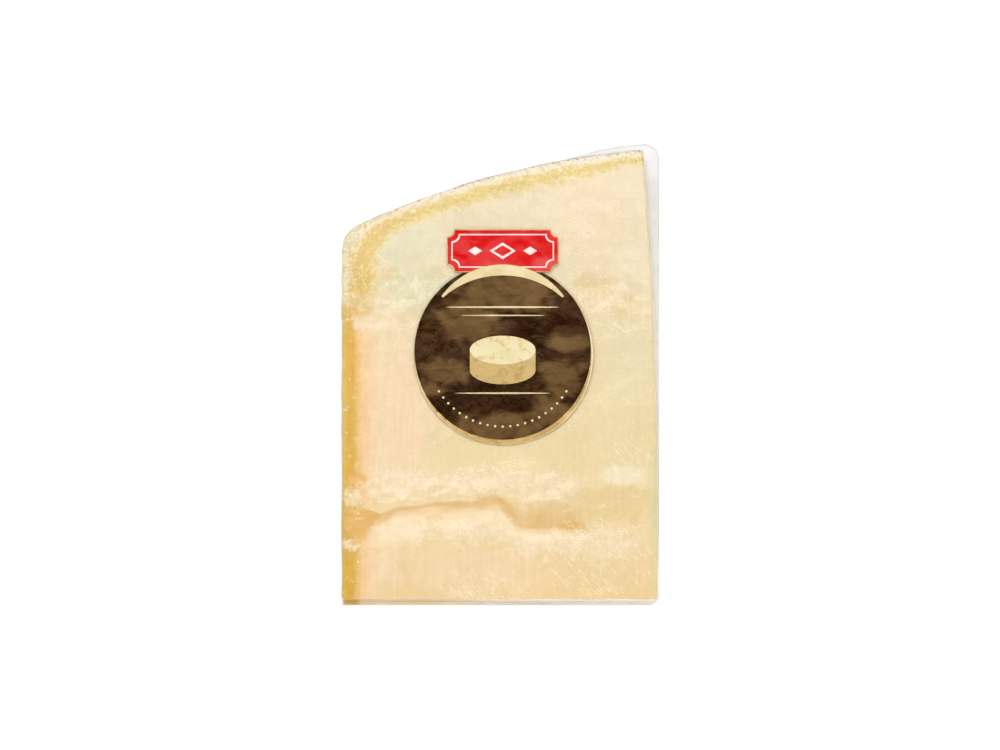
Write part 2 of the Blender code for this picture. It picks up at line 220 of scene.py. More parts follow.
# Where the label's print turns to its veil colour, a painted reflection of the film's gloss
PAINTED_REFLECTION_SPOTS = (
    (2, 108, 27, 12), (-11, 97, 17, 11), (24, 90, 10, 5.5), (-19, 80, 14, 6), (21, 78, 12, 9),
    (-1, 60, 24, 8), (18, 66, 11, 8), (-24, 74, 7, 4), (18, 117, 10, 5),
)


def blend(low, high, share):
    return low + (high - low) * share


def smooth_step(low, high, value):
    share = min(max((value - low) / (high - low), 0.0), 1.0)
    return share * share * (3 - 2 * share)


def bump(value, centre, half_width):
    """1 at the centre, falling smoothly to 0 at half_width on either side."""
    return 1 - smooth_step(0.0, half_width, abs(value - centre))


def spaced(count, density, samples=2000):
    """count + 1 positions from 0 to 1, closer together where density(position) is high."""
    reached = [0.0]
    for i in range(samples):
        reached.append(reached[-1] + density((i + 0.5) / samples))
    found = []
    at = 0
    for n in range(count + 1):
        wanted = reached[-1] * n / count
        while at < samples - 1 and reached[at + 1] < wanted:
            at += 1
        found.append((at + (wanted - reached[at]) / (reached[at + 1] - reached[at])) / samples)
    return found


def crowded_edges(amount, share):
    return lambda t: 1 + amount * (bump(t, 0.0, share) + bump(t, 1.0, share))


def crowded_rows(t):
    """Rows lie closer together at the two edges and over the valley."""
    return crowded_edges(5.0, 0.015)(t) + 1.2 * bump(t, 0.2, 0.1)


def tip_radius(angle):
    """Distance from the axis to the trimmed tip, which is cut square to the front face."""
    return TIP_RADIUS / math.cos(WEDGE_ANGLE / 2 - angle)


def middle_cut_x(b):
    """The cut across the wheel's middle, which leans and bends a little from the tip, 0, to the rind, 1."""
    return MIDDLE_CUT_X_AT_TIP - MIDDLE_CUT_LEANS * b - MIDDLE_CUT_BENDS * b**3


def barrel_radius(x):
    """The wheel's barrel side: a shallow arc, rounded where it turns into the flat rind."""
    offset = x - BARREL_CROWN_X
    arc = math.sqrt(BARREL_PROFILE_RADIUS**2 - offset**2)
    radius = BARREL_CROWN_RADIUS - BARREL_PROFILE_RADIUS + arc
    inside = RIND_CORNER_RADIUS - (x - FLAT_RIND_X)
    if inside > 0:
        inside = min(inside, RIND_CORNER_RADIUS)
        radius -= RIND_CORNER_RADIUS - math.sqrt(RIND_CORNER_RADIUS**2 - inside**2)
    return radius


def valley_height(x):
    for (x0, y0), (x1, y1) in zip(VALLEY_PATH, VALLEY_PATH[1:]):
        if x <= x1 * MM:
            break
    return blend(y0, y1, smooth_step(x0 * MM, x1 * MM, x)) * MM


def valley_share(x, height, left_widths=VALLEY_LEFT_WIDTHS, right_widths=VALLEY_RIGHT_WIDTHS):
    """How deep in the valley a point is, from 0 to about 1. The widths are above and below its line."""
    across = height - valley_height(x)
    wall = 0 if across > 0 else 1
    turned = smooth_step(*VALLEY_TURNS_OVER_X, x)
    width = blend(left_widths[wall], right_widths[wall], turned)
    depth = 0.55 + 0.45 * noise.noise(Vector((x / VALLEY_BREAK_LENGTH, 1.7, 0.0)))
    depth *= blend(1.0, VALLEY_FADED_SHARE, smooth_step(*VALLEY_FADES_OVER_X, x))
    depth *= smooth_step(*VALLEY_STARTS_OVER_X, x)
    return depth * math.exp(-((across / width) ** 2))


def crag_band(x, height):
    lower = blend(1.0, LOWER_CRAGS_FADED_SHARE, smooth_step(*LOWER_CRAGS_FADE_OVER_X, x))
    return max(lower * bump(height, *LOWER_CRAGS), UPPER_CRAG_SHARE * bump(height, *UPPER_CRAGS))


def outside_valley(x, height):
    """0 in the valley's bed and 1 outside it."""
    return 1 - smooth_step(0.05, 0.4, valley_share(x, height))


def crag_relief(x, height):
    place = Vector((x / CRAG_SIZE, height / (CRAG_SIZE * 0.7), 3.0))
    coarse = noise.voronoi(place)[0][0]
    fine = noise.noise(place * 2.3)
    band = crag_band(x, height) * blend(0.3, 1.0, outside_valley(x, height))
    return CRAG_HEIGHT * band * (0.7 - 1.2 * coarse + 0.4 * fine)


def waves(place, size_and_height):
    size, height = size_and_height
    return height * noise.noise(place / size)


def clear_of_label(x, height):
    """0 under the label and 1 well away from it."""
    reach = math.hypot(x - LABEL_X, height - LABEL_HEIGHT_ON_FACE)
    off_disc = smooth_step(RIM_RADIUS + FADE_AT_DISC[0], RIM_RADIUS + FADE_AT_DISC[1], reach)
    beside = bump(x, LABEL_X, PLAQUE_SIZE[0] / 2 + FADE_AT_PLAQUE)
    level = bump(height, LABEL_HEIGHT_ON_FACE + PLAQUE_CENTRE_Y, PLAQUE_SIZE[1] / 2 + FADE_AT_PLAQUE)
    return off_disc * (1 - beside * level)


def inside_edges(x, height):
    """0 at the front face's edges and 1 well inside them."""
    top = barrel_radius(x) - TIP_RADIUS
    right = middle_cut_x(height / top)
    near_edge = min(x - FLAT_RIND_X, right - x, height, top - height)
    return smooth_step(*FADE_AT_EDGES, near_edge)


def front_relief(x, height):
    """The relief that the solid has: how far the front face stands above its flat plane."""
    relief = -VALLEY_DEPTH * valley_share(x, height)
    relief += crag_relief(x, height) + waves(Vector((x, height, 0.0)), FRONT_WAVES)
    return relief * clear_of_label(x, height) * inside_edges(x, height)


def pits(x, height, from_barrel):
    """Fine broken relief of the crags and of the crust's rim, always inwards."""
    craggy = crag_band(x, height) * outside_valley(x, height)
    band = max(0.8 * craggy, bump(from_barrel, 2.5 * MM, 4 * MM))
    if band <= 0:
        return 0.0
    pitted = 0.0
    for n, (size, depth) in enumerate(PITS):
        pitted += depth * (0.5 + 0.5 * noise.noise(Vector((x, height, 10 * MM * n)) / size))
    return -band * pitted


def ridges(place):
    """Thin raised lines, from 0 between them to 1 on them."""
    return (1 - min(abs(noise.noise(place)) * 4.0, 1.0)) ** 2


def film_wrinkles(x, height):
    """Low waves and fine folds of the stretched film, which the label follows too."""
    soft = waves(Vector((x, height, 20 * MM)), FILM_BROAD_WAVES)
    soft += waves(Vector((x, height, 50 * MM)), FILM_NARROW_WAVES)
    size, fold_height = FILM_FOLDS
    folds = fold_height * ridges(Vector((x * 0.6 + height * 0.8, height * 0.6 - x * 0.8, 0.0)) / size)
    return soft + folds * blend(1.0, 0.4, smooth_step(60 * MM, 100 * MM, height))


def film_height(x, height):
    """How far the film stands above the front face's plane."""
    return front_relief(x, height) + film_wrinkles(x, height) * inside_edges(x, height)


def soft_spot(x, height, spot):
    """1 at the middle of a soft, uneven oval and 0 outside it."""
    centre_x, centre_height, half_width, half_height = spot
    reach = math.hypot((x / MM - centre_x) / half_width, (height / MM - centre_height) / half_height)
    reach += 0.35 * noise.noise(Vector((x, height, 0.0)) / (3.5 * MM))
    return 1 - smooth_step(0.3, 1.0, reach)


def spots(x, height, group):
    return max(soft_spot(x, height, spot) for spot in group)


def tint(x, height):
    return sum(strength * soft_spot(x, height, spot) for *spot, strength in TINTED_SPOTS)


def rind_depth(x, from_flat, from_barrel):
    """The depth under the two rinds, rounded where they meet, and squeezed or stretched below the crust."""
    if from_flat < RIND_BLEND and from_barrel < RIND_BLEND:
        depth = RIND_BLEND - math.hypot(RIND_BLEND - from_flat, RIND_BLEND - from_barrel)
    else:
        depth = min(from_flat, from_barrel)
    swell = blend(BAND_SWELL, 1.0, smooth_step(*BAND_SWELLS_OVER_X, x))
    swell *= blend(1.0, BAND_THINNED_SHARE, smooth_step(*BAND_THINS_OVER_X, x))
    return min(depth, CRUST_DEPTH) + max(depth - CRUST_DEPTH, 0.0) / swell


def wedge_point(a, b, c, inset=0.0):
    """A point of the rounded wedge: a along the wheel's axis, b from tip to rind, c from back to front.

    The inset is the cheese's distance from the film, which is smaller at the tip.
    """
    left = FLAT_RIND_X + inset
    right = middle_cut_x(b) - inset
    x = blend(left, right, a)
    half_angle = WEDGE_ANGLE / 2
    tip = tip_radius(c * half_angle) + inset * TIP_INSET_SHARE
    rind = barrel_radius(blend(FLAT_RIND_X, right, a)) - inset
    radius = blend(tip, rind, b)
    half_arc = radius * half_angle - inset
    along = c * half_arc
    inner = Vector(
        (
            min(max(x, left + EDGE_RADIUS), right - EDGE_RADIUS),
            min(max(radius, tip + EDGE_RADIUS), rind - EDGE_RADIUS),
            min(max(along, EDGE_RADIUS - half_arc), half_arc - EDGE_RADIUS),
        )
    )
    x, radius, along = inner + EDGE_RADIUS * (Vector((x, radius, along)) - inner).normalized()
    angle = along / radius
    return Vector((x, radius * math.cos(angle), radius * math.sin(angle)))


def to_world():
    """From the wheel's own frame, with the wedge split evenly by the XY plane, to the resting pack."""
    return Matrix.Translation((0, -PACK_MIDDLE_Y, 0)) @ Matrix.Rotation(WEDGE_ANGLE / 2, 4, "X")


def on_face(x, height, above=0.0):
    """A world point above the front face's plane."""
    radius = TIP_RADIUS + height
    cos, sin = math.cos(WEDGE_ANGLE), math.sin(WEDGE_ANGLE)
    return Vector((x, radius * cos - above * sin - PACK_MIDDLE_Y, radius * sin + above * cos))


def surface_grid(shape, at):
    """The six sides of a box of cells as one closed mesh, each corner of a cell placed by at(i, j, k)."""
    mesh = bmesh.new()
    corners = {}

    def corner(*index):
        if index not in corners:
            corners[index] = mesh.verts.new(at(*index))
        return corners[index]

    for axis in range(3):
        first, second = (axis + 1) % 3, (axis + 2) % 3
        for end in (0, shape[axis]):
            for m in range(shape[first]):
                for n in range(shape[second]):
                    ring = []
                    for dm, dn in ((0, 0), (1, 0), (1, 1), (0, 1)):
                        index = [0, 0, 0]
                        index[axis], index[first], index[second] = end, m + dm, n + dn
                        ring.append(corner(*index))
                    mesh.faces.new(ring if end else ring[::-1])
    return mesh, corners


def add_object(name, data):
    made = bpy.data.objects.new(name, data)
    bpy.context.scene.collection.objects.link(made)
    return made


def add_mesh(name, mesh):
    """An object from a finished mesh, which is used up."""
    data = bpy.data.meshes.new(name)
    mesh.to_mesh(data)
    mesh.free()
    return add_object(name, data)


def add_piece(name, mesh, materials, zones):
    """A piece of the part. Each zone is a list of numbers, one for each vertex."""
    piece = add_mesh(name, mesh)
    data = piece.data
    for zone, values in zones.items():
        data.attributes.new(zone, "FLOAT", "POINT").data.foreach_set("value", values)
    data.shade_smooth()
    for finish in materials:
        data.materials.append(finish)
    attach(piece, "root")
    return piece


class Nodes:
    """Short calls that add nodes to one new material and link them."""

    def __init__(self, name):
        self.material = bpy.data.materials.new(name)
        self.material.use_nodes = True
        self.tree = self.material.node_tree
        self.tree.nodes.clear()

    def add(self, kind, inputs=None, output=0, **settings):
        node = self.tree.nodes.new("ShaderNode" + kind)
        for key, value in settings.items():
            setattr(node, key, value)
        for key, value in (inputs or {}).items():
            if isinstance(value, bpy.types.NodeSocket):
                self.tree.links.new(value, node.inputs[key])
            else:
                node.inputs[key].default_value = value
        return node.outputs[output] if node.outputs else node

    def here(self, scale=None, turn=0.0):
        """Positions on the object, turned about Z and then scaled along each axis."""
        place = self.add("TexCoord", output=3)
        if turn:
            place = self.add("VectorRotate", {"Vector": place, "Angle": turn}, rotation_type="Z_AXIS")
        return self.add("Mapping", {"Vector": place, "Scale": scale}) if scale else place

    def noise(self, scale, detail=2.0, roughness=0.5, distortion=0.0, turn=0.0):
        """A cloudy pattern from 0 to 1. Its scale is one number, or one for each axis."""
        values = {"Detail": detail, "Roughness": roughness, "Distortion": distortion}
        if isinstance(scale, tuple):
            return self.add("TexNoise", {"Vector": self.here(scale, turn), "Scale": 1.0, **values})
        return self.add("TexNoise", {"Vector": self.here(), "Scale": scale, **values})

    def cells(self, scale):
        """The distance from the nearest of many scattered points, from 0 to about 1."""
        return self.add("TexVoronoi", {"Vector": self.here(), "Scale": scale})

    def number(self, zone):
        return self.add("Attribute", output=2, attribute_name=zone)

    def calc(self, operation, first, *others):
        """The sum, product or the like of two or more numbers."""
        for other in others:
            first = self.add("Math", {0: first, 1: other}, operation=operation)
        return first

    def times(self, *values):
        return self.calc("MULTIPLY", *values)

    def about_zero(self, pattern):
        """A pattern from 0 to 1, moved to run from -0.5 to 0.5."""
        return self.calc("SUBTRACT", pattern, 0.5)

    def axis(self, index):
        """Where on the object, along X, 0, or Y, 1."""
        return self.add("SeparateXYZ", {0: self.here()}, index)

    def between(self, value, low, high, to_low=0.0, to_high=1.0):
        """A number that eases from to_low to to_high as value goes from low to high."""
        values = {"Value": value, "From Min": low, "From Max": high, "To Min": to_low, "To Max": to_high}
        return self.add("MapRange", values, interpolation_type="SMOOTHSTEP")

    def ramp(self, value, stops):
        """A colour that runs through the stops: (value in mm, colour)."""
        low, high = stops[0][0] * MM, stops[-1][0] * MM
        share = self.calc("DIVIDE", self.calc("SUBTRACT", value, low), high - low)
        made = self.add("ValToRGB", {0: share})
        elements = made.node.color_ramp.elements
        while len(elements) < len(stops):
            elements.new(1.0)
        for element, (position, colour) in zip(elements, stops):
            element.position = (position * MM - low) / (high - low)
            element.color = (*colour, 1.0)
        return made

    def mix(self, share, low, high, blend_type="MIX"):
        colours = {0: share, 6: self.colour(low), 7: self.colour(high)}
        return self.add("Mix", colours, output=2, data_type="RGBA", blend_type=blend_type)

    def colour(self, value):
        return value if isinstance(value, bpy.types.NodeSocket) else (*value, 1.0)

    def bump(self, height, strength, distance, normal=None):
        values = {"Height": height, "Strength": strength, "Distance": distance}
        if normal:
            values["Normal"] = normal
        return self.add("Bump", values)

    def finish(self, surface):
        self.add("OutputMaterial", {"Surface": surface})
        return self.material


def plain_paste(n, height, warm, cool):
    """The paste's colour from the tip to the rind, with its warm and cool stretches."""
    stops = (
        (0, (0.86, 0.63, 0.315)), (38, (0.88, 0.685, 0.385)), (58, (0.83, 0.675, 0.38)),
        (92, (0.82, 0.68, 0.40)), (122, (0.84, 0.71, 0.48)), (158, (0.84, 0.70, 0.47)),
    )
    paste = n.mix(warm, n.ramp(height, stops), (0.91, 0.68, 0.435))
    greenish = n.mix(n.between(height, 60 * MM, 90 * MM), (0.755, 0.665, 0.375), (0.765, 0.70, 0.47))
    return n.mix(cool, paste, greenish)


def with_flat_rind_band(n, paste, height, ragged):
    """The amber band under the flat rind, with pale patches and olive streaks."""
    stops = (
        (0.0, (0.66, 0.50, 0.22)), (0.9, (0.72, 0.48, 0.13)), (1.9, (0.75, 0.43, 0.06)),
        (4.2, (0.76, 0.42, 0.06)), (5.5, (0.83, 0.53, 0.18)), (7.0, (0.89, 0.59, 0.28)),
        (10.0, (0.905, 0.63, 0.35)), (14.0, (0.93, 0.68, 0.41)),
    )
    depth = n.number("from_flat")
    wilder = n.between(height, 85 * MM, 110 * MM, 3 * MM, 14 * MM)
    unsteady = n.times(ragged, wilder, n.between(depth, 0.0, 3 * MM))
    band = n.ramp(n.calc("ADD", depth, unsteady), stops)
    deeper = n.times(n.between(depth, 6 * MM, 3 * MM), n.between(height, 55 * MM, 15 * MM, 0.0, 0.4))
    band = n.mix(deeper, band, (0.60, 0.34, 0.02))
    in_band = n.between(depth, 8 * MM, 4 * MM)
    paler = n.between(n.noise(170, 4, 0.6), 0.48, 0.62, 0.0, 0.15)
    band = n.mix(n.times(paler, in_band), band, (0.85, 0.57, 0.17))
    olive = n.between(n.noise((400, 60, 60), 3), 0.46, 0.60, 0.0, 0.3)
    band = n.mix(n.times(olive, in_band), band, (0.66, 0.47, 0.07))
    shown = n.times(n.between(depth, 14 * MM, 8 * MM), n.between(height, 110 * MM, 99 * MM))
    return n.mix(shown, paste, band)


def with_barrel_rind_band(n, paste, height, ragged):
    """The barrel's crust and amber band, and also their unsteady depth and where they show."""
    stops = (
        (0.0, (0.74, 0.69, 0.52)), (0.4, (0.85, 0.79, 0.64)), (2.2, (0.87, 0.78, 0.57)),
        (3.2, (0.79, 0.63, 0.25)), (4.8, (0.76, 0.57, 0.155)), (6.4, (0.80, 0.63, 0.27)),
        (9.5, (0.86, 0.70, 0.43)),
    )
    depth = n.number("from_rind")
    unsteady = n.times(ragged, n.between(depth, 0.5 * MM, 5 * MM, 2 * MM, 12 * MM))
    depth = n.calc("ADD", depth, unsteady)
    band = n.ramp(depth, stops)
    in_corner = n.between(n.number("from_flat"), 34 * MM, 14 * MM)
    band = n.mix(n.times(in_corner, 0.4), band, (0.80, 0.63, 0.29))
    amber = n.times(n.between(depth, 2.4 * MM, 3.8 * MM), n.between(depth, 8 * MM, 4.6 * MM))
    band = n.mix(n.times(amber, in_corner, 0.9), band, (0.75, 0.52, 0.13))
    shown = n.times(n.between(depth, 10 * MM, 7 * MM), n.between(height, 99 * MM, 110 * MM))
    return n.mix(shown, paste, band), depth, shown


def with_crumbs(n, paste, depth, shown):
    """Pale crumbs and darker gaps at the rind and in crumbled spots, and dark specks in the crust."""
    crumbly = n.number("crumbly")
    edge = n.calc("MAXIMUM", n.times(shown, n.between(depth, 8 * MM, 3 * MM)), crumbly)
    crumbs = n.between(n.cells(800), 0.42, 0.18)
    paste = n.mix(n.times(crumbs, edge, 0.5), paste, (0.96, 0.81, 0.58))
    gaps = n.between(n.noise(600, 4, 0.7), 0.50, 0.60)
    paste = n.mix(n.times(gaps, edge, 0.6), paste, (0.76, 0.50, 0.17))
    from_rind = n.number("from_rind")
    crust = n.times(
        shown,
        n.between(from_rind, 1.8 * MM, 0.6 * MM),
        n.between(from_rind, 0.0, 0.3 * MM, 0.35, 1.0),
        n.between(n.number("from_flat"), 1 * MM, 6 * MM, 0.25, 1.0),
    )
    crust = n.calc("MAXIMUM", crust, n.times(crumbly, 0.35))
    specks = n.between(n.noise(900, 3, 0.7), 0.54, 0.60)
    return n.mix(n.times(specks, crust), paste, (0.42, 0.39, 0.26))


def with_broken_patches(n, paste, warm, cool, ragged):
    """Milky patches with painted shade between their curds, dark patches of painted shade, amber and pale
    patches, and the valley's painted shade.
    """
    curds = n.about_zero(n.noise(620, 3, 0.6, 1.2))
    milky = n.calc("ADD", n.noise(400, 5, 0.7, 0.6), n.times(n.number("milky"), 0.35), curds)
    milky = n.between(milky, 0.64, 0.86)
    veil = n.mix(cool, n.mix(warm, (0.94, 0.76, 0.52), (0.95, 0.75, 0.56)), (0.86, 0.81, 0.56))
    paste = n.mix(n.times(milky, 0.8), paste, veil)
    # Painted shade between the milky curds
    curd_shade = n.calc("MAXIMUM", n.between(curds, 0.02, -0.08), n.between(n.cells(480), 0.40, 0.62))
    curd_shade = n.times(curd_shade, n.between(n.number("milky"), 0.1, 0.6, 0.0, 0.42))
    paste = n.mix(curd_shade, paste, n.mix(cool, (0.84, 0.65, 0.39), (0.70, 0.62, 0.34)))
    # Dark patches of painted shade, for the shade in the depths of breaks and along the valley
    patchy = n.times(n.noise(130, 4, 0.6), 0.8)
    dark = n.between(n.calc("ADD", patchy, n.number("dark")), 0.5, 1.3, 0.0, 0.5)
    paste = n.mix(dark, paste, n.mix(cool, (0.76, 0.56, 0.25), (0.70, 0.62, 0.32)))
    # The valley's painted shade
    paste = n.mix(n.between(n.number("valley"), 0.05, 0.5, 0.0, 0.9), paste, (0.77, 0.50, 0.20))
    # Amber patches: the cheese's own colour, and the last of them painted shade along the valley
    amber = n.between(n.calc("ADD", n.number("amber"), ragged), 0.15, 0.6, 0.0, 0.85)
    paste = n.mix(amber, paste, (0.80, 0.46, 0.13))
    pale = n.between(n.calc("ADD", n.number("pale"), ragged), 0.0, 0.8, 0.0, 0.6)
    return n.mix(pale, paste, (0.92, 0.81, 0.60))


def with_film_marks_and_highlights(n, paste):
    """The clinging film's pale threads in the milky patches and blisters, and painted highlights where it
    is creased.
    """
    creased = n.number("creased")
    # Painted highlights of the film's slanting crease lines, drawn into the paste
    slant = n.noise((1500, 240, 240), 3, 0.6, turn=math.radians(-42))
    crease_highlights = n.times(n.between(slant, 0.54, 0.64), n.between(creased, 0.0, 0.5))
    swirl = n.add("Math", {0: n.about_zero(n.noise(290, 3, 0.6, 1.8))}, operation="ABSOLUTE")
    threads = n.times(n.between(swirl, 0.03, 0.0), n.between(n.number("milky"), 0.1, 0.7))
    blistered = n.calc("MAXIMUM", n.between(n.number("from_flat"), 9 * MM, 5 * MM), creased)
    blisters = n.times(n.between(n.cells(330), 0.16, 0.08), n.between(blistered, 0.2, 0.6))
    marks_and_highlights = n.calc("MAXIMUM", crease_highlights, threads, blisters)
    return n.mix(n.times(marks_and_highlights, 0.55), paste, (0.97, 0.86, 0.60))


def cheese_material():
    """Pale paste with bands under the two rinds, broken patches, streaks and grain."""
    n = Nodes("cheese_paste")
    height = n.number("height")
    warm = n.between(n.number("tint"), 0.0, 1.0)
    cool = n.between(n.number("tint"), 0.0, -1.0)
    ragged = n.about_zero(n.noise(420, 5, 0.65))
    paste = plain_paste(n, height, warm, cool)
    paste = with_flat_rind_band(n, paste, height, ragged)
    paste, depth, shown = with_barrel_rind_band(n, paste, height, ragged)
    paste = with_crumbs(n, paste, depth, shown)
    paste = with_broken_patches(n, paste, warm, cool, ragged)
    paste = with_film_marks_and_highlights(n, paste)

    grain = n.noise(1100, 4, 0.6)
    mottle = n.noise(210, 4, 0.6)
    patterns = (
        (mottle, 0.12),
        (grain, 0.12),
        (n.noise((900, 60, 60), 3), n.between(warm, 0.1, 0.8, 0.09, 0.16)),
        (n.noise(45, 3), 0.12),
    )
    shade = 1.0
    for pattern, strength in patterns:
        shade = n.calc("ADD", shade, n.times(n.about_zero(pattern), strength))
    shades = n.add("CombineColor", {0: shade, 1: shade, 2: n.calc("POWER", shade, 1.6)})
    paste = n.mix(1.0, paste, shades, "MULTIPLY")

    relief = n.bump(grain, 0.35, 0.25 * MM)
    relief = n.bump(mottle, 0.35, 0.6 * MM, relief)
    values = {"Base Color": paste, "Roughness": 0.5, "Normal": relief, "Specular IOR Level": 0.3}
    values |= {"Subsurface Weight": 0.12, "Subsurface Radius": (1.0, 0.6, 0.3), "Subsurface Scale": 3 * MM}
    return n.finish(n.add("BsdfPrincipled", values))


def film_material():
    """Clear film: it shows by its rippled gloss and by its hazy flange, whose strip at the tip has streaks
    of painted highlight.
    """
    n = Nodes("clear_film")
    ripple = n.noise(260, 3, 0.55, 0.4)
    fine = n.noise(900, 2)
    flange = n.number("flange")
    relief = n.bump(ripple, 0.24, 0.5 * MM)
    relief = n.bump(fine, 0.04, 0.2 * MM, relief)
    clear = n.add("BsdfTransparent", {"Color": n.mix(flange, (0.985, 0.985, 0.985), (0.86, 0.85, 0.85))})
    gloss = n.add("BsdfGlossy", {"Color": (0.35, 0.35, 0.35, 1.0), "Roughness": 0.12, "Normal": relief})
    shine = n.calc("MINIMUM", n.add("Fresnel", {"IOR": 1.5, "Normal": relief}), 0.06)
    cool = n.mix(n.between(n.noise(120, 3), 0.4, 0.6), (0.92, 0.905, 0.89), (0.96, 0.955, 0.965))
    near = n.mix(n.between(n.number("reach"), 0.2 * MM, 2.6 * MM), (0.91, 0.88, 0.79), cool)
    across = n.axis(0)
    at_tip = n.between(n.axis(1), -75 * MM, -77 * MM)
    along_tip = n.noise((70, 900, 900), 3)
    pinkish = n.between(across, *TIP_HAZE_TURNS_OVER_X)
    # The strip at the tip: its own colour, with lighter streaks of painted highlight along its folds
    low_fold = n.mix(pinkish, (0.93, 0.81, 0.63), (0.87, 0.83, 0.82))
    fold_highlight = n.mix(pinkish, (0.93, 0.78, 0.52), (1.0, 0.98, 0.96))
    folded = n.mix(n.between(along_tip, 0.42, 0.56), low_fold, fold_highlight)
    folded = n.mix(n.between(across, -48 * MM, -51 * MM), folded, (0.70, 0.45, 0.09))
    rim = n.between(n.number("reach"), 1.8 * MM, 2.3 * MM, 0.0, 0.6)
    folded = n.mix(rim, folded, n.mix(pinkish, (0.76, 0.72, 0.56), (0.72, 0.68, 0.68)))
    haze = n.add("BsdfDiffuse", {"Color": n.mix(at_tip, near, folded)})
    dense = n.between(n.times(at_tip, n.calc("SUBTRACT", 1.0, pinkish)), 0.0, 1.0, 0.58, 0.92)
    body = n.add("MixShader", {0: n.times(flange, dense), 1: clear, 2: haze})
    return n.finish(n.add("MixShader", {0: shine, 1: body, 2: gloss}))


def ink(name, colour, roughness, metallic=0.0, shine=0.5, tint=(1.0, 1.0, 1.0), veil=None, mottles=None):
    """Glossy print on a wrinkled label, slightly uneven.

    It turns to the colour veil in patches, which are painted reflections of the film's gloss, and has
    mottles of the colour mottles.
    """
    n = Nodes("label_" + name)
    cloud = n.noise(160, 4, 0.6)
    darker = tuple(0.88 * part for part in colour)
    lighter = tuple(min(1.12 * part, 1.0) for part in colour)
    wrinkled = n.between(n.axis(1), 4 * MM, -8 * MM, 0.25, 1.0)
    relief = n.bump(n.noise(60, 2, 0.5, 0.3), 1.0, 1.8 * MM)
    relief = n.bump(n.times(n.noise(240, 4, 0.6, 0.8), wrinkled), 1.0, 0.8 * MM, relief)
    print_colour = n.mix(cloud, darker, lighter)
    if veil:
        # Patches of painted reflection of the film's gloss, in the veil colour
        ragged = n.times(n.about_zero(n.noise((110, 230, 230), 6, 0.7, 0.6)), 2.2)
        painted_reflection = n.between(n.calc("ADD", n.number("painted_reflection"), ragged), 0.0, 1.25)
        print_colour = n.mix(painted_reflection, print_colour, veil)
    if mottles:
        mottled = n.between(n.noise(330, 3, 0.6), 0.52, 0.68, 0.0, 0.6)
        print_colour = n.mix(mottled, print_colour, mottles)
    values = {"Base Color": print_colour, "Metallic": metallic, "Normal": relief}
    values |= {"Roughness": n.between(cloud, 0.3, 0.7, roughness * 0.8, roughness * 1.25)}
    values |= {"Specular IOR Level": shine, "Specular Tint": (*tint, 1.0)}
    return n.finish(n.add("BsdfPrincipled", values))


def build_cheese():
    columns = spaced(CHEESE_CELLS[0], crowded_edges(5.0, 0.02))
    rows = spaced(CHEESE_CELLS[1], crowded_rows)
    layers = spaced(CHEESE_CELLS[2], crowded_edges(2.0, 0.06))

    def at(i, j, k):
        return wedge_point(columns[i], rows[j], 2 * layers[k] - 1, CHEESE_INSET)

    mesh, corners = surface_grid(CHEESE_CELLS, at)
    mesh.normal_update()
    zones = {}
    for (i, j, k), vertex in corners.items():
        x, radius = vertex.co.x, math.hypot(vertex.co.y, vertex.co.z)
        height = radius - TIP_RADIUS
        from_barrel = barrel_radius(max(x, FLAT_RIND_X + RIND_CORNER_RADIUS)) - radius - CHEESE_INSET
        from_flat = x - FLAT_RIND_X - CHEESE_INSET
        front = smooth_step(0.6, 1.0, layers[k])
        if k == CHEESE_CELLS[2]:
            move = front_relief(x, height) + pits(x, height, from_barrel) * clear_of_label(x, height)
        elif k > 0:
            move = waves(vertex.co, BARREL_WAVES if j == CHEESE_CELLS[1] else SIDE_WAVES)
        else:
            move = 0.0
        found = {
            "height": height,
            "from_rind": rind_depth(x, from_flat, from_barrel),
            "from_flat": from_flat,
            # The valley's painted shade, narrower than its relief
            "valley": front * valley_share(x, height, PAINTED_SHADE_LEFT_WIDTHS, PAINTED_SHADE_RIGHT_WIDTHS),
            "tint": tint(x, height),
            **{zone: front * spots(x, height, group) for zone, group in FACE_SPOTS.items()},
        }
        for name, value in found.items():
            zones.setdefault(name, []).append(value)
        vertex.co += vertex.normal * move
    mesh.transform(to_world())
    piece = add_piece("cheese", mesh, [cheese_material()], zones)
    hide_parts("sealed_pack")


def rounded_corner(corner, before, after, radius, steps=8):
    """Points of the arc that rounds the corner between the directions to its two neighbours."""
    toward_before = (before - corner).normalized()
    toward_after = (after - corner).normalized()
    half = toward_before.angle(toward_after) / 2
    start = corner + toward_before * radius / math.tan(half)
    end = corner + toward_after * radius / math.tan(half)
    centre = corner + (toward_before + toward_after).normalized() * radius / math.sin(half)
    points = []
    for n in range(steps + 1):
        spoke = (start - centre).lerp(end - centre, n / steps)
        points.append(centre + radius * spoke.normalized())
    return points


